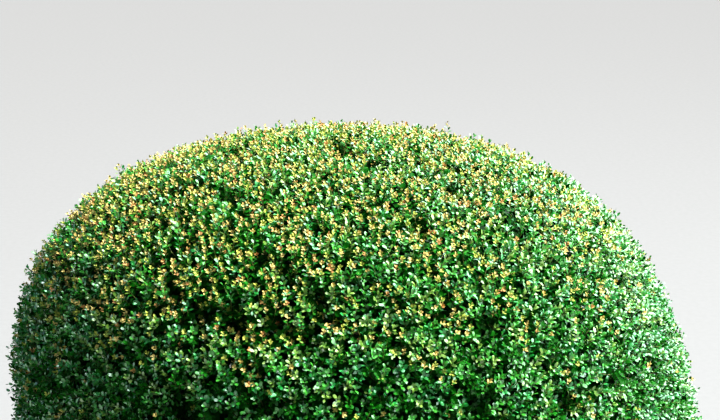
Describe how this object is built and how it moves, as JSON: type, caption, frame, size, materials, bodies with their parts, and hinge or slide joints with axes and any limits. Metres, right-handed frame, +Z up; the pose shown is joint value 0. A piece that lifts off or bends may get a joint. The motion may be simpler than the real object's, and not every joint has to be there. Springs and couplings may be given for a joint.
{
  "type": "potted japanese holly",
  "caption": "Evergreen shrub with small cupped leaves, clipped to a broad rounded dome, on a short forked trunk in a plain tapered terracotta pot.",
  "frame": {"origin": "middle of the pot's flat underside, where it stands on the ground", "axes": "+Z up; the pictured side faces -Y, and +X is to the right in the picture"},
  "size_m": [1.3196, 1.287, 1.3298],
  "materials": {
    "terracotta": "matte",
    "compost": "matte",
    "bark": "matte",
    "leaves": "satin"
  },
  "bodies": {
    "root": {"pot": "terracotta", "compost": "compost", "trunk": "bark", "leader": "bark", "lower_bough_1": "bark", "lower_bough_2": "bark", "lower_bough_3": "bark", "lower_bough_4": "bark", "upper_bough_1": "bark", "upper_bough_2": "bark", "upper_bough_3": "bark", "foliage_dome": "leaves"}
  },
  "joints": []
}
